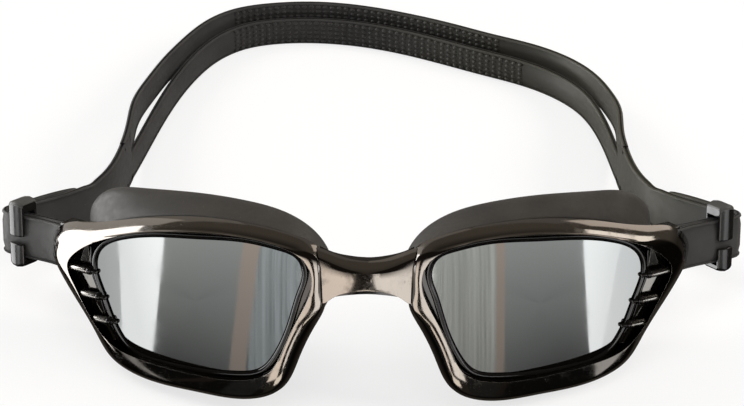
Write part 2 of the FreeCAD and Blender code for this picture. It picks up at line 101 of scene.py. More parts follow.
RIBS = [(69.2, -5.9, 5.4), (67.0, -12.2, 4.7), (64.4, -18, 4.2)]    # inner end u, w and length
BRIDGE_TOP = [(0, 4.0), (4, 4.5), (8, 6.0), (11.2, 7.6)]
BRIDGE_BOTTOM = [(0, -2.5), (4, -2.9), (7.5, -4.1), (10.2, -6.0)]

# Strap on the table: x, y from the bridge front, height of the lower edge, height and lean of the band.
STRAP_SIDE = [(77, 61, 9.0, 11.3, 2.2), (73.2, 66, 8.0, 11.6, 1.6), (70.2, 73, 6.6, 12.4, 0.9),
              (68.2, 82, 4.6, 14, 0.4), (67, 92, 2.7, 16, 0)]
TAIL = [(83.6, 57.6, 9.9, 11.2, 2.6), (79.4, 61.7, 9.2, 10.6, 2.2), (76, 66.4, 8.4, 9.2, 1.8)]
LOWER_STRAND = [(67.7, 86, 4.4), (67, 92, 2.9), (65.6, 105, 0.7), (63, 119, 0), (58.8, 130, 0),
                (51.6, 139, 0), (42, 146, 0), (31, 151.5, 0), (20, 157, 0), (8, 162.6, 0), (-5, 167, 0),
                (-18, 169, 0), (-30, 168.5, 0), (-40, 165.3, 0), (-47.6, 158.6, 0), (-53, 149.5, 0),
                (-57.8, 137, 0), (-61.6, 123, 0), (-64.6, 108, 0.6), (-67, 92, 2.9), (-67.7, 86, 4.4)]
UPPER_STRAND = [(67.7, 86, 10.6), (67.1, 92.7, 10.6), (67.3, 105, 9.5), (65.7, 118, 7.0), (61.8, 130.2, 5.4),
                (54.7, 140.9, 4.3), (44.6, 148.8, 3.8), (33, 154.6, 3.6), (21.8, 160.2, 3.6),
                (9.4, 165.6, 3.6), (-4.4, 170.2, 3.6), (-18, 172.4, 3.6), (-31.4, 171.6, 3.6),
                (-42.6, 167.8, 3.8), (-50.5, 160.2, 4.2), (-55.9, 150.4, 4.6), (-60.7, 138.2, 5.4),
                (-64.4, 124, 7.0), (-66.8, 109, 9.3), (-67.1, 92.7, 10.6), (-67.7, 86, 10.6)]


# ---------- curves and rows of points
def cubic(points, closed, per_span):
    """Points on the smooth curve through the given ones, the same number in each span."""
    knots = np.array(points, float).reshape(len(points), -1)
    if closed:
        knots = np.vstack([knots, knots[:1]])
    spans = np.linalg.norm(np.diff(knots, axis=0), axis=1)
    slopes = np.diff(knots, axis=0) / spans[:, None]
    count = len(knots)
    rule, pull = np.zeros((count, count)), np.zeros_like(knots)
    for i in range(1, count - 1):
        rule[i, i - 1:i + 2] = spans[i], 2 * (spans[i - 1] + spans[i]), spans[i - 1]
        pull[i] = 3 * (slopes[i - 1] * spans[i] + slopes[i] * spans[i - 1])
    if closed:
        rule[0, [0, 1, -2]] = 2 * (spans[-1] + spans[0]), spans[-1], spans[0]
        pull[0] = 3 * (slopes[-1] * spans[0] + slopes[0] * spans[-1])
        rule[-1, [0, -1]] = 1, -1
    else:
        rule[0, :2], rule[-1, -2:] = (2, 1), (1, 2)
        pull[0], pull[-1] = 3 * slopes[0], 3 * slopes[-1]
    tangents = np.linalg.solve(rule, pull)
    t = (np.arange(per_span) / per_span)[:, None]
    pieces = [(2 * t**3 - 3 * t**2 + 1) * knots[i] + (3 * t**2 - 2 * t**3) * knots[i + 1]
              + spans[i] * ((t**3 - 2 * t**2 + t) * tangents[i] + (t**3 - t**2) * tangents[i + 1])
              for i in range(count - 1)]
    return np.vstack(pieces if closed else pieces + [knots[-1:]])


def inset(outline, distance):
    """Outline moved inwards by distance at each point; a negative distance moves it outwards."""
    points = np.array(outline, float)
    step = np.roll(points, -1, 0) - np.roll(points, 1, 0)
    area = np.sum(np.roll(points, 1, 0)[:, 0] * points[:, 1] - points[:, 0] * np.roll(points, 1, 0)[:, 1])
    side = distance * np.sign(area) / np.linalg.norm(step, axis=1)
    return points + np.stack([-side * step[:, 1], side * step[:, 0]], 1)


def wrapped(u, w, depth):
    """Points of the eye frame at (u, w), the given depth inside the wrap cylinder."""
    return np.stack([u, WRAP - np.sqrt((WRAP - depth) ** 2 - u * u), w], -1)


def bearing(points):
    """Direction of each (u, w) point from the middle of the eye."""
    return np.arctan2(points[:, 1] - EYE_MIDDLE[1], points[:, 0] - EYE_MIDDLE[0])


def even_bearings():
    """Bearings of points spaced evenly round the lens, so that every ring matches point for point."""
    curve = cubic(LENS, True, 40)
    closed = np.vstack([curve, curve[:1]])
    run = np.concatenate([[0], np.cumsum(np.linalg.norm(np.diff(closed, axis=0), axis=1))])
    along = np.arange(RING_POINTS) / RING_POINTS * run[-1]
    return bearing(np.stack([np.interp(along, run, closed[:, i]) for i in (0, 1)], 1))


RAYS = even_bearings()


def around(outline, depth):
    """Ring of points where the outline crosses each bearing; depth is a number or a function of u."""
    curve = cubic(outline, True, 20)
    u, w = (np.interp(RAYS, bearing(curve), curve[:, i], period=2 * math.pi) for i in (0, 1))
    return wrapped(u, w, depth(u) if callable(depth) else depth)


def between(row, other, share, forward=0.0):
    """Row of points part of the way to another, pushed forward."""
    middle = row + (other - row) * share
    middle[:, 1] -= forward
    return middle


# ---------- mesh helpers
def pairs(row):
    """Neighbouring items of a closed row."""
    return zip(row, row[1:] + row[:1])


def start_row(bm, points):
    """Closed row of edges through the points."""
    row = [bm.verts.new(point) for point in points]
    for a, b in pairs(row):
        bm.edges.new((a, b))
    return row


def carry_row(bm, row, points):
    """Extrude a closed row of edges to new places."""
    edges = [bm.edges.get(pair) for pair in pairs(row)]
    made = bmesh.ops.extrude_edge_only(bm, edges=edges)["geom"]
    fresh = {item for item in made if isinstance(item, bmesh.types.BMVert)}
    moved = []
    for vert, point in zip(row, points):
        others = (edge.other_vert(vert) for edge in vert.link_edges)
        moved.append(next(other for other in others if other in fresh))
        moved[-1].co = point
    return moved


def skin(rows, ends):
    """Mesh through closed rows of points: ends "join" closes it into a ring, "cap" closes each end."""
    bm = bmesh.new()
    lines = [start_row(bm, rows[0])]
    for points in rows[1:]:
        lines.append(carry_row(bm, lines[-1], points))
    if ends == "join":
        last = carry_row(bm, lines[-1], rows[0])
        bmesh.ops.weld_verts(bm, targetmap=dict(zip(last, lines[0])))
    else:
        for row in (lines[0], lines[-1]):
            bmesh.ops.contextual_create(bm, geom=[bm.edges.get(pair) for pair in pairs(row)])
    bmesh.ops.recalc_face_normals(bm, faces=bm.faces)
    return bm, lines


def round_edges(bm, edges, radius, segments=3):
    """Round the edges off."""
    bmesh.ops.bevel(bm, geom=list(edges), offset=radius, offset_type="OFFSET", segments=segments,
                    profile=0.5, affect="EDGES", material=-1, clamp_overlap=True)


def round_rows(bm, rows, radius, segments=3):
    """Round the closed rows of edges off."""
    round_edges(bm, [bm.edges.get(pair) for row in rows for pair in pairs(row)], radius, segments)


def block(bm, low, high, radius, segments, place):
    """Box between two corners with its edges rounded."""
    middle, extent = (Vector(low) + Vector(high)) / 2, Vector(high) - Vector(low)
    verts = bmesh.ops.create_cube(bm, size=1.0)["verts"]
    bmesh.ops.scale(bm, vec=extent, verts=verts)
    bmesh.ops.transform(bm, matrix=place @ Matrix.Translation(middle), verts=verts)
    round_edges(bm, {edge for vert in verts for edge in vert.link_edges}, radius, segments)


def rod(bm, start, end, radius, rounding, segments=20):
    """Round bar between two points with rounded ends."""
    start, end = Vector(start), Vector(end)
    axis = end - start
    place = Matrix.Translation((start + end) / 2) @ axis.to_track_quat("Z", "Y").to_matrix().to_4x4()
    verts = bmesh.ops.create_cone(bm, cap_ends=True, segments=segments, radius1=radius, radius2=radius,
                                  depth=axis.length, matrix=place)["verts"]
    rims = {edge for vert in verts for edge in vert.link_edges
            if all(len(f.verts) in (4, segments) for f in edge.link_faces)
            and any(len(f.verts) == segments for f in edge.link_faces)}
    round_edges(bm, rims, rounding, 4)


def piece(name, bm, finishes, body=None, nodes=(), sharp=40.0):
    """Object of a finished mesh, already in metres in the row frame."""
    mesh = bpy.data.meshes.new(name)
    bm.to_mesh(mesh)
    bm.free()
    mesh.shade_smooth()
    mesh.set_sharp_from_angle(angle=math.radians(sharp))
    item = bpy.data.objects.new(name, mesh)
    bpy.context.scene.collection.objects.link(item)
    for finish in finishes:
        mesh.materials.append(finish)
    if body:
        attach(item, body)
    if nodes:
        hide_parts(*nodes)
    return item


def mirrored(bm):
    """Mirror image of a mesh for the wearer's right side."""
    other = bm.copy()
    bmesh.ops.scale(other, vec=(-1, 1, 1), verts=other.verts)
    bmesh.ops.reverse_faces(other, faces=other.faces)
    return other


def pair(name, bm, place, finishes, slot, body="frame_unit", node=None, sharp=40.0):
    """The wearer's left piece and its mirror image. The body's name may hold {side}."""
    bmesh.ops.transform(bm, matrix=TO_METRES @ place, verts=bm.verts)
    made = []
    for side, mesh in (("right", mirrored(bm)), ("left", bm)):
        nodes = ["%s_%s" % (side, node)] if node else []
        riding = body.format(side=side) if body else None
        made.append(piece("%s_%s" % (side, name), mesh, finishes, riding, nodes, sharp))
    return made


def weigh_normals(items):
    """Keep broad faces flat in the light beside their rounded edges."""
    for item in items:
        item.modifiers.new("even_shading", "WEIGHTED_NORMAL").keep_sharp = True


# ---------- node helpers
def linear(code):
    """sRGB hex as linear RGBA."""
    parts = [int(code[i:i + 2], 16) / 255 for i in (1, 3, 5)]
    return [c / 12.92 if c <= 0.04045 else ((c + 0.055) / 1.055) ** 2.4 for c in parts] + [1.0]


def per_mm(size):
    """Texture scale at which one cell of a pattern is the given size in millimetres."""
    return 1000.0 / size


def plug(tree, node, inputs):
    """Give a node its inputs, in order or by name: values, hex colours or other nodes' outputs."""
    for key, value in inputs.items() if isinstance(inputs, dict) else enumerate(inputs):
        if isinstance(value, bpy.types.NodeSocket):
            tree.links.new(value, node.inputs[key])
        else:
            node.inputs[key].default_value = linear(value) if isinstance(value, str) else value


def add(tree, kind, inputs=(), **settings):
    """Add a shader node with its settings and its inputs, and give its outputs."""
    made = tree.nodes.new("ShaderNode" + kind)
    for key, value in settings.items():
        setattr(made, key, value)
    plug(tree, made, inputs)
    return made.outputs


def material(name):
    """New material with its tree, its shader and the place of the surface in metres."""
    made = bpy.data.materials.new(name)
    made.use_nodes = True
    tree = made.node_tree
    return made, tree, tree.nodes["Principled BSDF"], add(tree, "TexCoord")["Object"]


def specks(tree, place, spacing, radius):
    """1 on small round specks, spaced in millimetres, and 0 between them."""
    cells = add(tree, "TexVoronoi", {"Vector": place, "Scale": per_mm(spacing)}, feature="F1")
    near = add(tree, "MapRange", [cells["Distance"], radius * 0.6 / spacing, radius / spacing, 1, 0])
    pick = add(tree, "SeparateColor", [cells["Color"]])
    some = add(tree, "MapRange", [pick[0], 0.70, 0.72, 0, 1])
    return add(tree, "Math", [near[0], some[0]], operation="MULTIPLY")[0]


# ---------- finishes
def black_nickel(name, dark, light, smooth=0.075, rough=0.2):
    """Black-nickel plating on ABS: a dark warm mirror with hairline scratches and dust specks."""
    made, tree, shader, place = material(name)
    drift = add(tree, "TexNoise", {"Vector": place, "Scale": per_mm(14.0), "Detail": 2.0})
    tint = add(tree, "Mix", {0: drift["Fac"], 6: dark, 7: light}, data_type="RGBA")
    dust = specks(tree, place, 1.3, 0.09)
    stretch = add(tree, "Mapping", {"Vector": place, "Scale": (1.0, 1.0, 0.09), "Rotation": (0.3, 0.9, 0.4)})
    fibres = add(tree, "TexNoise", {"Vector": stretch[0], "Scale": per_mm(0.35), "Detail": 1.0})
    hairs = add(tree, "MapRange", [fibres["Fac"], 0.66, 0.74, 0, 1])[0]
    blots = add(tree, "TexNoise", {"Vector": place, "Scale": per_mm(3.2), "Detail": 4.0, "Roughness": 0.62})
    patches = add(tree, "MapRange", [blots["Fac"], 0.50, 0.72, smooth, rough])
    worn = add(tree, "Math", [hairs, 0.10, patches[0]], operation="MULTIPLY_ADD")
    swell = add(tree, "TexNoise", {"Vector": place, "Scale": per_mm(5.0), "Detail": 1.0})
    waved = add(tree, "Bump", {"Height": swell["Fac"], "Strength": 0.05, "Distance": 0.10 * MM})
    scored = add(tree, "Bump", {"Height": hairs, "Strength": 0.06, "Distance": 0.01 * MM, "Normal": waved[0]})
    plug(tree, shader, {
        "Base Color": add(tree, "Mix", {0: dust, 6: tint[2], 7: "#8f8a80"}, data_type="RGBA")[2],
        "Roughness": add(tree, "Math", [dust, 0.25, worn[0]], operation="MULTIPLY_ADD")[0],
        "Metallic": 1.0,
        "Normal": scored[0]})
    return made


def mirror_lens():
    """Polycarbonate lens with a vacuum-deposited mirror coat: a clean, slightly soft grey mirror."""
    made, tree, shader, place = material("mirror_coated_polycarbonate")
    drift = add(tree, "TexNoise", {"Vector": place, "Scale": per_mm(22.0), "Detail": 1.0})
    tint = add(tree, "Mix", {0: drift["Fac"], 6: "#a9adae", 7: "#b1b2b0"}, data_type="RGBA")
    dust = specks(tree, place, 2.4, 0.10)
    wipe = add(tree, "TexNoise", {"Vector": place, "Scale": per_mm(7.0), "Detail": 3.0})
    smear = add(tree, "MapRange", [wipe["Fac"], 0.4, 0.7, 0.035, 0.07])
    plug(tree, shader, {
        "Base Color": add(tree, "Mix", {0: dust, 6: tint[2], 7: "#6c6f70"}, data_type="RGBA")[2],
        "Roughness": add(tree, "Math", [dust, 0.3, smear[0]], operation="MULTIPLY_ADD")[0],
        "Metallic": 1.0})
    return made


def smoke_polycarbonate():
    """Smoke-tinted polycarbonate, moulded and polished: nearly black, with a clear gloss."""
    made, tree, shader, place = material("smoke_polycarbonate")
    drift = add(tree, "TexNoise", {"Vector": place, "Scale": per_mm(9.0), "Detail": 3.0})
    flow = add(tree, "TexNoise", {"Vector": place, "Scale": per_mm(4.0), "Detail": 3.0})
    plug(tree, shader, {
        "Base Color": add(tree, "Mix", {0: drift["Fac"], 6: "#1a1d1f", 7: "#23272a"}, data_type="RGBA")[2],
        "Roughness": add(tree, "MapRange", [flow["Fac"], 0.3, 0.7, 0.05, 0.11])[0],
        "IOR": 1.585})
    return made


def gloss_black(name, dark, light, smooth, rough):
    """Injection-moulded black plastic with fine dust and faint flow marks; roughness sets its gloss."""
    made, tree, shader, place = material(name)
    drift = add(tree, "TexNoise", {"Vector": place, "Scale": per_mm(6.0), "Detail": 3.0})
    tint = add(tree, "Mix", {0: drift["Fac"], 6: dark, 7: light}, data_type="RGBA")
    dust = specks(tree, place, 0.9, 0.07)
    flow = add(tree, "TexNoise", {"Vector": place, "Scale": per_mm(2.5), "Detail": 4.0})
    swell = add(tree, "TexNoise", {"Vector": place, "Scale": per_mm(3.0), "Detail": 1.0})
    plug(tree, shader, {
        "Base Color": add(tree, "Mix", {0: dust, 6: tint[2], 7: "#4a4742"}, data_type="RGBA")[2],
        "Roughness": add(tree, "MapRange", [flow["Fac"], 0.35, 0.7, smooth, rough])[0],
        "IOR": 1.58,
        "Normal": add(tree, "Bump", {"Height": swell["Fac"], "Strength": 0.04, "Distance": 0.1 * MM})[0]})
    return made


def silicone(name, dark, light, grain_mm, far=None):
    """Moulded silicone from a sand-blasted tool: matte, with a soft sheen, fine grain and lint.

    A far colour takes over behind the middle on the wearer's left. It is painted warm light, standing in for
    the light that the band catches there.
    """
    made, tree, shader, place = material(name)
    drift = add(tree, "TexNoise", {"Vector": place, "Scale": per_mm(11.0), "Detail": 4.0})
    share = add(tree, "MapRange", [drift["Fac"], 0.3, 0.7, 0, 1])
    tint = add(tree, "Mix", {0: share[0], 6: dark, 7: light}, data_type="RGBA")
    # Painted warm light: the far colour is laid over the band behind the middle on the wearer's left.
    if far:
        axes = add(tree, "SeparateXYZ", [place])
        behind = add(tree, "MapRange", [axes["Y"], -0.034, -0.024, 0, 1])
        aside = add(tree, "MapRange", [axes["X"], -0.01, 0.06, 0, 1])
        both = add(tree, "Math", [behind[0], aside[0]], operation="MULTIPLY")
        tint = add(tree, "Mix", {0: both[0], 6: tint[2], 7: far}, data_type="RGBA")
    lint = specks(tree, place, 1.6, 0.08)
    wear = add(tree, "TexNoise", {"Vector": place, "Scale": per_mm(1.5), "Detail": 4.0})
    grain = add(tree, "TexNoise", {"Vector": place, "Scale": per_mm(grain_mm), "Detail": 3.0})
    plug(tree, shader, {
        "Base Color": add(tree, "Mix", {0: lint, 6: tint[2], 7: "#8d8981"}, data_type="RGBA")[2],
        "Roughness": add(tree, "MapRange", [wear["Fac"], 0.3, 0.7, 0.44, 0.58])[0],
        "IOR": 1.41,
        "Sheen Weight": 0.12,
        "Sheen Roughness": 0.45,
        "Normal": add(tree, "Bump", {"Height": grain["Fac"], "Strength": 0.22, "Distance": 0.05 * MM})[0]})
    return made


PLATED = black_nickel("black_nickel_plated_abs", "#7a7672", "#85807a")
# Thinner plating on the gill tiles, darker than the cover's.
TILE_PLATED = black_nickel("thin_black_nickel_wash_on_abs", "#6c6a67", "#767470")
# Satin plating on the ribs: brighter and softer, so that each reads as a pale bar.
RIB_PLATED = black_nickel("satin_nickel_plated_abs", "#aaa7a2", "#b6b3ad", 0.26, 0.36)
MIRROR = mirror_lens()
SMOKE = smoke_polycarbonate()
RIM_BLACK = gloss_black("gloss_black_polycarbonate", "#0d0c0b", "#161412", 0.07, 0.16)
GILL_BLACK = gloss_black("gloss_black_abs", "#12100e", "#1d1a17", 0.06, 0.14)
CLIP_BLACK = gloss_black("polished_black_nylon", "#100f0f", "#1b1a19", 0.12, 0.24)
# Crown of the clip: a dull grey cap over the glossy arms. Its lighter grey is painted light from above.
CLIP_TOP_PAINTED_LIGHT = gloss_black("frosted_black_nylon", "#3a3a39", "#4b4b49", 0.38, 0.5)
BAR_BLACK = gloss_black("black_nylon_rod", "#131313", "#1f1f1f", 0.2, 0.32)
GASKET_SILICONE = silicone("soft_black_silicone", "#2a2825", "#34312d", 0.35)
# The olive far colour #3b392f is painted warm light on the band behind the middle, on the wearer's left.
STRAP_SILICONE = silicone("charcoal_strap_silicone", "#302f2e", "#393837", 0.30, "#3b392f")


# ---------- eye units
def nose_share():
    """1 where the cover meets the bridge and 0 away from it, for each bearing in degrees."""
    upper, upper_ease, lower, lower_ease = 146, 10, 186, 12
    degrees = np.degrees(RAYS) % 360
    rise = np.clip((degrees - upper) / upper_ease, 0, 1) * np.clip((lower - degrees) / lower_ease, 0, 1)
    return (rise * rise * (3 - 2 * rise))[:, None]


def make_cover():
    """Plated cover: outer bevel, crisp ridge, gently crowned front face and a turned-in lip."""
    bevel_depth, lip_depth, lip_back, wall = 2.9, 0.5, 2.6, 1.6
    nose = nose_share()
    ridge = around(inset(COVER_OUTER, 2.2), 1.15)
    ridge = ridge + (around(inset(COVER_OUTER, 0.9), 1.0) - ridge) * nose
    bevel = around(inset(COVER_OUTER, 0.75), bevel_depth)
    bevel = bevel + (around(inset(COVER_OUTER, 0.2), bevel_depth) - bevel) * nose
    lip = around(COVER_INNER, lip_depth)
    rows = [around(COVER_OUTER, COVER_BACK), bevel, ridge, between(ridge, lip, 0.35, 0.16),
            between(ridge, lip, 0.7, 0.12), lip, around(COVER_INNER, lip_back),
            around(inset(COVER_OUTER, wall), COVER_BACK)]
    bm, lines = skin(rows, "join")
    round_rows(bm, [lines[2]], 0.60, 4)
    round_rows(bm, [lines[5]], 0.45, 4)
    round_rows(bm, [lines[0], lines[6]], 0.15, 2)
    weigh_normals(pair("cover", bm, EYE_FRAME, [PLATED], "plated_cover", node="fascia"))


def toward_middle(row, share, depth):
    """Ring shrunk towards the middle of the eye, on the wrap again."""
    u = EYE_MIDDLE[0] + (row[:, 0] - EYE_MIDDLE[0]) * share
    w = EYE_MIDDLE[1] + (row[:, 2] - EYE_MIDDLE[1]) * share
    return wrapped(u, w, depth)


def make_lens():
    """Lens: mirror coat on the front, smoke polycarbonate behind and round the edge."""
    shares = (0.005, 0.04, 0.1, 0.17, 0.25, 0.34, 0.43, 0.52, 0.61, 0.7, 0.79, 0.88, 0.95)
    outline = inset(LENS, 0.02)
    chamfer = 0.15
    edge = around(inset(LENS, chamfer), LENS_FRONT)
    rows = [toward_middle(edge, share, LENS_BACK) for share in shares]
    rows += [around(outline, LENS_BACK), around(outline, LENS_FRONT + chamfer), edge]
    rows += [toward_middle(edge, share, LENS_FRONT) for share in reversed(shares)]
    bm, lines = skin(rows, "cap")
    coated = set().union(*(set(line) for line in lines[len(shares) + 2:]))
    for face in bm.faces:
        face.material_index = 0 if all(vert in coated for vert in face.verts) else 1
    pair("mirror_lens", bm, EYE_FRAME, [MIRROR, SMOKE], "lens", node="lens", sharp=30)


def make_rim():
    """Eyecup: bead round the lens, flange behind the cover, tube into the gasket and strap lugs."""
    seat, opening, tube = inset(LENS, -0.1), inset(LENS, 1.2), inset(SLEEVE, 2.8)
    flange, flange_front, flange_back = inset(COVER_OUTER, 1.2), 5.6, 7.5
    ledge = LENS_BACK + 0.1
    rows = [around(seat, 3.2), around(inset(LENS, -1.35), 3.0), around(inset(LENS, -1.6), COVER_BACK),
            around(inset(COVER_OUTER, 1.75), ledge), around(flange, flange_front),
            around(flange, flange_back), around(tube, flange_back), around(tube, CUP_BACK),
            around(opening, CUP_BACK), around(opening, ledge), around(seat, ledge)]
    bm, lines = skin(rows, "join")
    round_rows(bm, [lines[1]], 0.5, 4)
    round_rows(bm, [lines[0]], 0.2, 2)
    round_rows(bm, [lines[5], lines[7], lines[8]], 0.25, 2)
    to_band = EYE_FRAME.inverted() @ BAND_FRAME
    upper_lug, lower_lug = (5.8, 6.75), (-6.95, -5.8)
    for low, high in (upper_lug, lower_lug):
        block(bm, (-6.2, -2.9, low), (2.1, 2.1, high), 0.4, 3, to_band)
    pair("eyecup_rim", bm, EYE_FRAME, [RIM_BLACK], "eyecup", node="eyecup")


def rim_depth(u):
    """Depth of the gasket's rear rim, which comes forward towards the temple."""
    reach, ease, temple = 18.5, 3.5, 70.0
    return reach - ease * (u / temple) ** 2


def make_gasket():
    """Face gasket: a sleeve that swells and flares to a rolled rim, with a soft lip inside."""
    wall, back = 2.5, CUP_BACK + 0.3
    rim = around(REAR_RIM, rim_depth)
    roll_out = around(inset(REAR_RIM, -0.25), lambda u: rim_depth(u) - 1.7)
    roll_in = around(inset(REAR_RIM, 1.1), lambda u: rim_depth(u) + 0.15)
    lip = around(inset(REAR_RIM, 3.4), lambda u: rim_depth(u) - 1.1)
    front = around(SLEEVE, SLEEVE_FRONT)
    outside = cubic([row.ravel() for row in (
        front, between(front, roll_out, 0.33, 0.5), between(front, roll_out, 0.70, 0.5), roll_out, rim,
        roll_in, lip, between(lip, around(inset(LENS, 1.6), back), 0.5),
        around(inset(LENS, 0.8), back))], False, 5)
    inner = inset(SLEEVE, wall)
    rows = [row.reshape(-1, 3) for row in outside] + [around(inner, back), around(inner, SLEEVE_FRONT)]
    bm, lines = skin(rows, "join")
    round_rows(bm, [lines[0], lines[-3]], 0.25, 2)
    pair("face_gasket", bm, EYE_FRAME, [GASKET_SILICONE], "gasket", node="gasket", sharp=60)


def gill_edge(edge, w):
    """u of an edge of the gill panel, given from the foot up, at height w."""
    us, ws = zip(GILL_FOOT, *edge, GILL_TOP)
    return float(np.interp(w, ws, us))


def tile_span(w):
    """u of the inner and outer edge of a gill tile at height w."""
    inner = gill_edge(GILL_INNER, w) + 0.45
    outer = gill_edge(GILL_OUTER[::-1], w) - 1.55
    return inner, outer if outer - inner >= 0.5 else inner + 0.8


def place_in_eye(u, w, depth):
    """One point of the eye frame."""
    return Vector(wrapped(np.float64(u), np.float64(w), depth))


def make_gill_trim():
    """Sunk tray beside the lens with plated tiles between the ribs, tilted forward at the temple."""
    back, front, floor = 5.5, 3.9, 4.5
    rows = [wrapped(*cubic(inset(GILL, wall), True, 8).T, depth) for wall, depth in (
        (0, back), (0, front), (0.35, front), (0.5, floor))]
    bm, lines = skin(rows, "cap")
    round_rows(bm, lines[1:3], 0.08, 2)
    heights = [1.4] + [w for _, w, _ in RIBS] + [-24.2]
    for top, bottom in zip(heights, heights[1:]):
        high, low = top - 1.15, bottom + 1.15
        (top_in, top_out), (low_in, low_out) = tile_span(high), tile_span(low)
        corners = [(top_in, high, 3.95), (top_out, high, 3.5), (low_out, low, 3.5), (low_in, low, 3.95)]
        tile, _ = skin([[place_in_eye(u, w, 4.9) for u, w, _ in corners],
                        [place_in_eye(*corner) for corner in corners]], "cap")
        round_edges(tile, tile.edges[:], 0.12, 2)
        for face in tile.faces:
            face.material_index = 1
        add_mesh(bm, tile)
    weigh_normals(pair("gill_tray", bm, EYE_FRAME, [GILL_BLACK, TILE_PLATED], "gill", node="gill_trim"))


def add_mesh(bm, other):
    """Put another mesh's faces into this one."""
    holder = bpy.data.meshes.new("holder")
    other.to_mesh(holder)
    other.free()
    bm.from_mesh(holder)
    bpy.data.meshes.remove(holder)


def make_gill_ribs():
    """Three plated ribs across the gill, each with a collar and a black nub on the lens rim."""
    ribs, nubs = bmesh.new(), bmesh.new()
    for u, w, length in RIBS:
        inner, outer = place_in_eye(u + 0.4, w, 2.55), place_in_eye(u + length, w + 0.25, 2.05)
        rod(ribs, inner, outer, 0.95, 0.6)
        collar = place_in_eye(u, w, 2.75)
        rod(nubs, place_in_eye(u - 0.5, w, 2.8), place_in_eye(u + 0.6, w, 2.65), 1.05, 0.35)
        rod(nubs, place_in_eye(u - 1.9, w - 0.1, 3.1), collar, 0.55, 0.3)
    pair("gill_ribs", ribs, EYE_FRAME, [RIB_PLATED], "plated_cover")
    pair("gill_nubs", nubs, EYE_FRAME, [RIM_BLACK], "gill")


# ---------- nose bridge
def nose_edge(w, depth):
    """u of the cover's bevel beside the bridge, at a height and depth."""
    curve = cubic(COVER_OUTER, True, 20)
    side = curve[(curve[:, 0] < 19) & (curve[:, 1] > -22)]
    side = side[np.argsort(side[:, 1])]
    slope, play = 0.9 * np.clip((COVER_BACK - depth) / 5.0, 0, 1), 0.12
    return float(np.interp(w, side[:, 1], side[:, 0])) + slope - play


def bridge_section(top, bottom, bow):
    """Closed section of the bridge in (depth, w): crowned front, ridge and top bevel."""
    back, height = 4.4, top - bottom
    return [(back, bottom + 0.3), (1.4 + bow, bottom), (0.52 + bow, bottom + 0.30),
            (0.33 + bow, bottom + 0.22 * height), (0.25 + bow, bottom + 0.45 * height),
            (0.38 + bow, top - 0.30 * height), (0.75 + bow, top - 1.7),
            (2.6 + bow * 0.5, top - 0.5), (back, top)]


def make_bridge():
    """Plated saddle over the nose, butting on both covers."""
    half_width = 10.6
    above, below = cubic(BRIDGE_TOP, False, 12).T, cubic(BRIDGE_BOTTOM, False, 12).T
    rows = []
    for share in np.linspace(-1, 1, 33):
        top, bottom = (np.interp(abs(share) * half_width, *edge) for edge in (above, below))
        section = bridge_section(top, bottom, 0.32 * share * share)
        rows.append([place_in_eye(share * nose_edge(w, depth), w, depth) for depth, w in section])
    bm, lines = skin(rows, "cap")
    upper_ridge, lower_ridge = 6, 1
    for index in (upper_ridge, lower_ridge):
        round_edges(bm, [bm.edges.get((a[index], b[index])) for a, b in zip(lines, lines[1:])], 0.3, 3)
    bmesh.ops.transform(bm, matrix=TO_METRES @ EYE_FRAME, verts=bm.verts)
    saddle = piece("bridge_saddle", bm, [PLATED], "frame_unit", ["nose_bridge"])
    weigh_normals([saddle])


# ---------- strap
def band_section(foot, head, side, thickness):
    """Closed section of a flat band between its lower and upper edge, with rounded edges."""
    up = head - foot
    height = up.length
    up = up / height
    half, corner = thickness / 2, min(0.55, thickness * 0.36)
    points = []
    for sign_side, sign_end in ((1, 0), (1, 1), (-1, 1), (-1, 0)):
        for step in range(4):
            turn = math.radians(30 * step)
            if (sign_side > 0) == (sign_end > 0):
                turn = math.pi / 2 - turn
            out = half - corner * (1 - math.cos(turn))
            rise = corner * (1 - math.sin(turn))
            points.append((sign_side * out, rise if sign_end == 0 else height - rise))
    first, rest = points[:8], points[8:]
    middle_right = [(half, height * k / 4) for k in (1, 2, 3)]
    middle_left = [(-half, height * (1 - k / 4)) for k in (1, 2, 3)]
    loop = first[:4] + middle_right + first[4:] + rest[:4] + middle_left + rest[4:]
    return [foot + side * x + up * z for x, z in loop]


def band_rows(feet, heads, thickness, per_span):
    """Sections of a band through feet and heads; thickness is a number or one per station."""
    count = len(feet)
    widths = thickness if hasattr(thickness, "__len__") else [thickness] * count
    line = cubic([list(f) + list(h) + [t] for f, h, t in zip(feet, heads, widths)], False, per_span)
    low, high, wide = line[:, :3], line[:, 3:6], line[:, 6]
    along = np.gradient((low + high) / 2, axis=0)
    rows = []
    for i in range(len(line)):
        up = Vector(high[i] - low[i])
        side = Vector(along[i]).cross(up).normalized()
        rows.append(band_section(Vector(low[i]), Vector(high[i]), side, wide[i]))
    return rows


def tongue(rows, length):
    """Narrow the first sections of a band to a rounded tongue of the given length."""
    start = sum(rows[0], Vector()) / len(rows[0])
    for index, section in enumerate(rows):
        middle = sum(section, Vector()) / len(section)
        gone = (middle - start).length / length
        if gone < 1:
            share = max(0.3, math.sqrt(1 - (1 - gone) ** 2))
            rows[index] = [Vector((p.x, p.y, middle.z + (p.z - middle.z) * share)) for p in section]


def round_end(rows):
    """Add smaller sections ahead of a band's first one, so that its end is rounded over."""
    section = rows[0]
    middle = sum(section, Vector()) / len(section)
    outward = (middle - sum(rows[1], Vector()) / len(rows[1])).normalized()
    for share, push in ((0.96, 0.3), (0.8, 0.55), (0.5, 0.65)):
        squash = 1 - (1 - share) * 0.12
        pinched = []
        for point in section:
            across = point - middle
            tall = Vector((0, 0, across.z))
            pinched.append(middle + tall * squash + (across - tall) * share + outward * push)
        rows.insert(0, pinched)


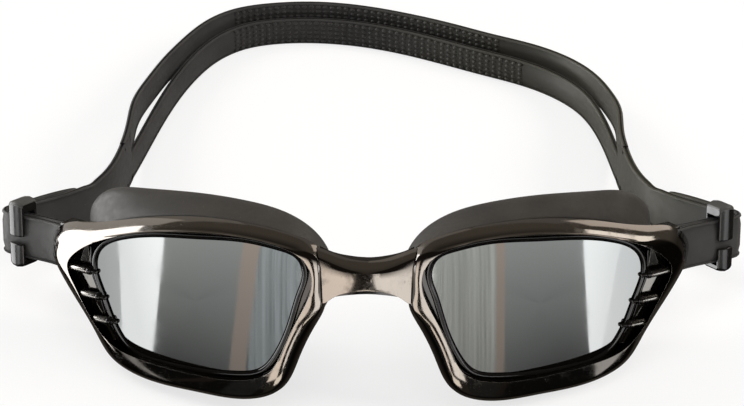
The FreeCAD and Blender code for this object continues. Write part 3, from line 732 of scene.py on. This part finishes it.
def hairpin():
    """Middle line of the strap end in the band frame: inner layer with its bend, loop and outer layer."""
    wide = BAR_RADIUS + 0.15 + BAND_THICKNESS / 2
    close = (BAND_THICKNESS + LAYER_GAP) / 2
    start, inner_radius, whole_turn = 20.4, 1.8, math.radians(106)
    centre = close + inner_radius

    def bend(radius):
        turns = [whole_turn * k / 6 for k in range(7)]
        return [(start + radius * math.sin(turn), centre - radius * math.cos(turn)) for turn in turns]

    straight = [(13, close), (6, close), (2.6, (close + wide) / 2), (0, wide)]
    turns = [math.radians(degrees) for degrees in (45, 90, 135)]
    around_bar = [(-wide * math.sin(turn), wide * math.cos(turn)) for turn in turns]
    inner = list(reversed(bend(inner_radius))) + straight
    outer = [(x, -y) for x, y in reversed(straight)] + bend(inner_radius + 2 * close)
    return inner + around_bar + outer


def table_station(x, y, low, height, lean):
    """Foot and head of the band at one station on the table, in the row frame in millimetres."""
    foot, head = Vector((x, y - lean / 2, low)), Vector((x, y + lean / 2, low + height))
    return TABLE_FRAME @ foot, TABLE_FRAME @ head


def band_station(x, y):
    """Foot and head of the band in the band frame, in the row frame in millimetres."""
    return tuple(BAND_FRAME @ Vector((x, y, z)) for z in (-BAND_HEIGHT / 2, BAND_HEIGHT / 2))


def make_strap_sides():
    """One band on each side: tail, round the bend, round the strap bar, back, and on to the split."""
    tail = [table_station(*station) for station in reversed(TAIL)]
    route = [band_station(x, y) for x, y in reversed(hairpin())]
    side = [table_station(*station) for station in STRAP_SIDE]
    stations = tail + route + side
    widths = [BAND_THICKNESS] * (len(tail) + len(route)) + [1.7, 1.85, 1.9, 1.85, 1.66]
    feet, heads = zip(*stations)
    rows = band_rows(feet, heads, widths, 5)
    tongue(rows, 4.5)
    round_end(rows)
    bm, _ = skin(rows, "cap")
    for item in pair("strap_side", bm, Matrix(), [STRAP_SILICONE], "strap", None, sharp=50):
        side_name = item.name.split("_")[0]
        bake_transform(item)
        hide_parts(side_name + "_strap_end", side_name + "_strap_tail")


def add_studs(bm, feet, heads, lower_x, upper_x):
    """Five rows of grip studs on the face of a strand that looks to the front."""
    pitch_along, pitch_up = 2.1, 1.5
    radius, rows = 0.70, 5
    flattened = Matrix.Diagonal((1.05, 0.8, 0.85, 1))
    line = cubic([list(f) + list(h) for f, h in zip(feet, heads)], False, 24)
    steps = np.diff((line[:, :3] + line[:, 3:]) / 2, axis=0)
    run = np.concatenate([[0], np.cumsum(np.linalg.norm(steps, axis=1))])
    for place in np.arange(pitch_along, run[-1], pitch_along):
        at = np.array([np.interp(place, run, line[:, i]) for i in range(6)])
        if not lower_x < at[0] < upper_x:
            continue
        ahead = np.array([np.interp(place + 0.5, run, line[:, i]) for i in range(3)])
        foot, head = Vector(at[:3]), Vector(at[3:])
        up = (head - foot).normalized()
        along = (Vector(ahead) - foot).normalized()
        face = along.cross(up).normalized()
        face = face if face.y < 0 else -face
        middle = (foot + head) / 2 + face * (BAND_THICKNESS / 2 - 0.1)
        turn = Matrix((along, up, face)).transposed().to_4x4()
        for k in range(rows):
            centre = Matrix.Translation(middle + up * (k - (rows - 1) / 2) * pitch_up)
            bmesh.ops.create_uvsphere(bm, u_segments=8, v_segments=6, radius=radius,
                                      matrix=centre @ turn @ flattened)


def strand(name, stations, stud_span):
    """One strand round the back of the head, with its grip studs."""
    feet, heads = zip(*[table_station(x, y, low, STRAND_HEIGHT, 0) for x, y, low in stations])
    bm, _ = skin(band_rows(feet, heads, BAND_THICKNESS, 6), "cap")
    add_studs(bm, feet, heads, *stud_span)
    bmesh.ops.transform(bm, matrix=TO_METRES, verts=bm.verts)
    return piece(name, bm, [STRAP_SILICONE], sharp=50)


def make_strands():
    """Lower strand on the swinging strap, upper strand at rest from the split."""
    lower = strand("lower_strand", LOWER_STRAND, (-44, 42))
    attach(lower, "strap_loop")
    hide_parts("strap")
    upper = strand("upper_strand_band", UPPER_STRAND, (-44, 36))
    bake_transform(upper)
    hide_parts("strap_upper_band")


def make_clips():
    """Keeper clip: a rounded C that the two layers of the band slide through, with its crown painted lighter
    grey for the light from above.
    """
    half_out, half_in, half_length = 2.85, 2.0, 2.3
    bottom, top = -7.5, 9.0
    room, room_high = -6.1, 6.4
    mouth_low, mouth_high = -1.7, 0.3
    outline = [(-half_out, mouth_high), (-half_out, top), (half_out, top), (half_out, bottom),
               (-half_out, bottom), (-half_out, mouth_low), (-half_in, mouth_low), (-half_in, room),
               (half_in, room), (half_in, room_high), (-half_in, room_high), (-half_in, mouth_high)]
    rows = []
    for share in (-1, -0.6, 0, 0.6, 1):
        swell = 0.55 * (1 - share * share)
        rows.append([(share * half_length, y + math.copysign(swell, y) * (abs(y) > half_in),
                      z + math.copysign(swell, z) * (z > room_high or z < room)) for y, z in outline])
    bm, lines = skin(rows, "cap")
    corners = [bm.edges.get((a[i], b[i])) for i in (1, 2, 3, 4) for a, b in zip(lines, lines[1:])]
    round_edges(bm, corners, 0.9, 5)
    rims = [edge for edge in bm.edges if edge.calc_face_angle(0) > math.radians(50)]
    round_edges(bm, rims, 0.35, 3)
    # Faces on top of the room take the lighter grey: painted light falling on the clip's top.
    for face in bm.faces:
        face.material_index = int(face.calc_center_median().z > room_high + 0.5)
    place = BAND_FRAME @ Matrix.Translation((CLIP_STATION, 0, 0))
    finishes = [CLIP_BLACK, CLIP_TOP_PAINTED_LIGHT]
    weigh_normals(pair("keeper_clip", bm, place, finishes, "clip", "{side}_clip", "strap_clip"))


# ---------- nodes that keep their CAD shape
def dress_cad_nodes():
    """The bridge core and strap bars are shown as built, with their own finishes."""
    for name, finish in (("nose_bridge_core", RIM_BLACK), ("left_strap_bar", BAR_BLACK),
                         ("right_strap_bar", BAR_BLACK)):
        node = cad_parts[name]
        node.data.materials.clear()
        node.data.materials.append(finish)


# ---------- studio
def emission(name, colour, strength):
    """Material that only glows; the strength is a number or worked out by strength(tree, place)."""
    made = bpy.data.materials.new(name)
    made.use_nodes = True
    tree = made.node_tree
    tree.nodes.clear()
    if callable(strength):
        strength = strength(tree, add(tree, "TexCoord")["Object"])
    lit = add(tree, "Emission", {"Color": colour, "Strength": strength})
    add(tree, "OutputMaterial", {"Surface": lit[0]})
    return made


def fade(low, high, at_low, at_high):
    """Strength that changes with height between two levels, in metres."""
    def strength(tree, place):
        height = add(tree, "SeparateXYZ", [place])["Z"]
        return add(tree, "MapRange", [height, low, high, at_low, at_high])[0]
    return strength


def sagging_fade(at_low, at_high, stripes=0.0):
    """Strength fading downwards on the curve that the wrapped lenses look along, darker at its foot."""
    def strength(tree, place):
        axes = add(tree, "SeparateXYZ", [place])
        square = add(tree, "Math", [axes["X"], axes["X"]], operation="MULTIPLY")
        level = add(tree, "Math", [square[0], 0.145, axes["Z"]], operation="MULTIPLY_ADD")[0]
        faded = add(tree, "MapRange", [level, -0.085, 0.01, at_low, at_high])[0]
        foot = add(tree, "MapRange", [level, -0.16, -0.11, 0.12, 1.0])[0]
        flat = add(tree, "Mapping", {"Vector": place, "Scale": (1.0, 0.0, 0.05)})
        grain = add(tree, "TexNoise", {"Vector": flat[0], "Scale": per_mm(9.0), "Detail": 3.0,
                                       "Roughness": 0.7})
        lines = add(tree, "MapRange", [grain["Fac"], 0.35, 0.65, 1 - stripes, 1 + stripes])[0]
        for share in (foot, lines):
            faded = add(tree, "Math", [faded, share], operation="MULTIPLY")[0]
        return faded
    return strength


def stage_piece(name, bm, finish, gloss_only):
    """Put a staging surface in the scene."""
    mesh = bpy.data.meshes.new(name)
    bm.to_mesh(mesh)
    bm.free()
    mesh.materials.append(finish)
    item = bpy.data.objects.new(name, mesh)
    bpy.context.scene.collection.objects.link(item)
    if gloss_only:
        for ray in ("camera", "diffuse", "shadow", "transmission", "volume_scatter"):
            setattr(item, "visible_" + ray, False)
    return item


def screen(name, left, right, low, high, layer, colour, strength, shear=0.0, pivot=0.0):
    """Upright card in front of the object, seen only in gloss; layer 0 stands farthest away.

    A sheared card leans sideways about the pivot height, where left and right are measured.
    """
    bm = bmesh.new()
    bmesh.ops.create_grid(bm, x_segments=1, y_segments=1, size=0.5)
    lean = Matrix.Identity(4)
    lean[0][2] = shear
    place = (Matrix.Translation(((left + right) / 2, -0.90 + 0.01 * layer, pivot)) @ lean
             @ Matrix.Translation((0, 0, (low + high) / 2 - pivot))
             @ Matrix.Diagonal((right - left, 1, high - low, 1)) @ Matrix.Rotation(math.radians(90), 4, "X"))
    bmesh.ops.transform(bm, matrix=place, verts=bm.verts)
    return stage_piece(name, bm, emission(name, colour, strength), True)


def panel(name, azimuth, elevation, wide, tall, colour, strength, distance=1.2):
    """Card square to the object at a bearing from the front and a height, its size in degrees."""
    bm = bmesh.new()
    bmesh.ops.create_grid(bm, x_segments=1, y_segments=1, size=distance)
    size = Matrix.Diagonal((math.tan(math.radians(wide / 2)), math.tan(math.radians(tall / 2)), 1, 1))
    place = (Matrix.Translation((0, -0.07, 0.03)) @ Matrix.Rotation(math.radians(azimuth), 4, "Z")
             @ Matrix.Rotation(math.radians(90 - elevation), 4, "X")
             @ Matrix.Translation((0, 0, distance)) @ size)
    bmesh.ops.transform(bm, matrix=place, verts=bm.verts)
    return stage_piece(name, bm, emission(name, colour, strength), True)


def make_tent():
    """Dark surroundings for the gloss, a little lighter up behind the object."""
    def strength(tree, place):
        axes = add(tree, "SeparateXYZ", [place])
        back = add(tree, "MapRange", [axes["Y"], 0.1, 1.2, 0.025, 0.17])
        high = add(tree, "MapRange", [axes["Z"], -0.2, 0.5, 0.3, 1.0])
        return add(tree, "Math", [back[0], high[0]], operation="MULTIPLY")[0]
    bm = bmesh.new()
    bmesh.ops.create_uvsphere(bm, u_segments=48, v_segments=24, radius=2.6)
    stage_piece("dark_tent", bm, emission("dark_tent", "#fff0dd", strength), True)


def make_world():
    """Soft white room: full white where the camera, gloss and glass look, plain light elsewhere."""
    world = bpy.data.worlds.new("white_studio")
    bpy.context.scene.world = world
    world.use_nodes = True
    tree = world.node_tree
    ray = add(tree, "LightPath")
    seen = ray["Is Camera Ray"]
    for other in ("Is Glossy Ray", "Is Transmission Ray"):
        seen = add(tree, "Math", [seen, ray[other]], operation="MAXIMUM")[0]
    strength = add(tree, "MapRange", [seen, 0, 1, 0.40, 1.0])
    plug(tree, tree.nodes["Background"], {"Color": "#ffffff", "Strength": strength[0]})


def make_floor():
    """Pale table that keeps a soft shadow and reads white to the camera."""
    made = bpy.data.materials.new("white_table")
    made.use_nodes = True
    tree = made.node_tree
    shader = tree.nodes["Principled BSDF"]
    plug(tree, shader, {"Base Color": "#f2f2f2", "Roughness": 0.9})
    lit = add(tree, "Emission", {"Color": "#ffffff", "Strength": 1.0})
    share = add(tree, "MapRange", [add(tree, "LightPath")["Is Camera Ray"], 0, 1, 0.0, 0.72])
    mix = add(tree, "MixShader", [share[0], shader.outputs[0], lit[0]])
    plug(tree, tree.nodes["Material Output"], {"Surface": mix[0]})
    bm = bmesh.new()
    bmesh.ops.create_grid(bm, x_segments=1, y_segments=1, size=4.0)
    stage_piece("table_top", bm, made, False).visible_glossy = False


def softbox(name, at, target, width, height, watts, colour):
    """Rectangular soft light."""
    data = bpy.data.lights.new(name, "AREA")
    data.shape, data.size, data.size_y = "RECTANGLE", width, height
    data.energy, data.color = watts, linear(colour)[:3]
    item = bpy.data.objects.new(name, data)
    item.location = at
    item.rotation_euler = (Vector(target) - Vector(at)).to_track_quat("-Z", "Y").to_euler()
    item.visible_glossy = False
    bpy.context.scene.collection.objects.link(item)


def make_lights():
    """Softboxes over the object, and the cards that lenses and plating show."""
    centre = (0, -0.05, 0.03)
    softbox("left_softbox", (-0.9, 0.35, 0.85), centre, 0.55, 0.5, 6.5, "#fffaf2")
    softbox("right_softbox", (1.0, -0.12, 0.70), centre, 0.5, 0.4, 8.5, "#fff8f0")
    softbox("top_softbox", (0.0, -0.25, 1.3), centre, 0.9, 0.7, 5, "#ffffff")
    make_tent()
    screen("grey_wall", -2.6, 2.6, -1.1, 0.035, 0, "#f4f5f2", sagging_fade(0.11, 0.60))
    cool, warm = sagging_fade(0.36, 0.62, 0.42), sagging_fade(0.36, 0.72, 0.34)
    screen("left_streaks", -0.470, -0.225, -0.9, 0.035, 1, "#f0f6f8", cool, 0.3, -0.05)
    screen("right_streaks", 0.20, 0.50, -0.9, 0.035, 1, "#f6f5ee", warm)
    screen("left_brown", -0.538, -0.468, -0.9, 0.035, 2, "#ffeadc", sagging_fade(0.33, 0.66), 0.75, -0.07)
    screen("right_brown", 0.485, 0.527, -0.9, 0.035, 2, "#ffe9da", sagging_fade(0.31, 0.64), 0.1, -0.07)
    screen("left_white", -2.30, -1.080, -0.60, 0.06, 3, "#ffffff", fade(-0.30, -0.12, 1.7, 2.2), 0.95, -0.2)
    screen("left_grey", -3.4, -1.58, -0.85, 0.04, 5, "#ffffff", fade(-0.60, -0.30, 0.75, 0.95), -1.2, -0.38)
    screen("right_white", 1.085, 2.9, -0.33, 0.06, 3, "#ffffff", fade(-0.28, -0.12, 1.7, 2.15), -0.6, -0.2)
    screen("right_grey", 1.12, 3.6, -1.1, -0.30, 4, "#ffffff", fade(-0.6, -0.3, 1.2, 1.4), -0.4, -0.35)
    screen("dark_middle", -0.250, 0.215, -1.1, 0.035, 5, "#fff0dd", 0.06)
    screen("left_beige", -0.245, -0.080, -0.245, 0.30, 6, "#fff3e8", fade(0.08, 0.26, 2.9, 0.2))
    screen("right_beige", 0.020, 0.215, -0.212, 0.30, 6, "#fffaf5", fade(0.08, 0.26, 3.1, 0.2))
    screen("nose_glow", -0.10, 0.09, -0.36, -0.245, 7, "#fff6ea", 3.0)
    screen("left_strip", -2.2, -0.30, 0.05, 0.15, 2, "#ffffff", 2.4)
    screen("right_strip", 0.30, 2.2, 0.05, 0.15, 2, "#ffffff", 2.4)
    panel("left_window", -118, 8, 28, 46, "#ffffff", 5.5)
    panel("left_window_edge", -141, 16, 16, 40, "#fffaf4", 0.85)
    panel("left_back_glow", -160, 28, 24, 26, "#fff6ec", 0.40, 1.3)
    panel("right_window", 146, 18, 12, 24, "#fff2e6", 1.5)
    panel("right_ridge_light", 116, 32, 20, 10, "#fff8f0", 3.5)
    panel("right_back_glow", 166, 30, 30, 20, "#fff6ec", 0.25, 1.3)
    panel("left_far_window", -92, 2, 34, 66, "#ffffff", 5.5)


def make_camera():
    """Camera a little above and in front, aimed over the bridge."""
    azimuth, elevation, roll = (math.radians(degrees) for degrees in (1.3, 35, -0.4))
    distance, aside, above = 0.62, 0.00143, 0.01905
    back = Vector((math.sin(azimuth) * math.cos(elevation), -math.cos(azimuth) * math.cos(elevation),
                   math.sin(elevation)))
    right = Vector((math.cos(azimuth), math.sin(azimuth), 0))
    up = back.cross(right)
    bridge_front = Vector((0, -SETBACK, STAND)) / 1000
    aim = bridge_front + right * aside + up * above
    data = bpy.data.cameras.new("camera")
    data.lens, data.sensor_width = 126.0, 36.0
    item = bpy.data.objects.new("camera", data)
    item.location = aim + back * distance
    item.rotation_mode = "QUATERNION"
    item.rotation_quaternion = back.to_track_quat("Z", "Y") @ Matrix.Rotation(roll, 3, "Z").to_quaternion()
    bpy.context.scene.collection.objects.link(item)
    bpy.context.scene.camera = item


make_camera()
make_cover()
make_lens()
make_rim()
make_gasket()
make_gill_trim()
make_gill_ribs()
make_bridge()
make_strap_sides()
make_strands()
make_clips()
dress_cad_nodes()
make_world()
make_floor()
make_lights()
bpy.context.scene.view_settings.view_transform = "Standard"
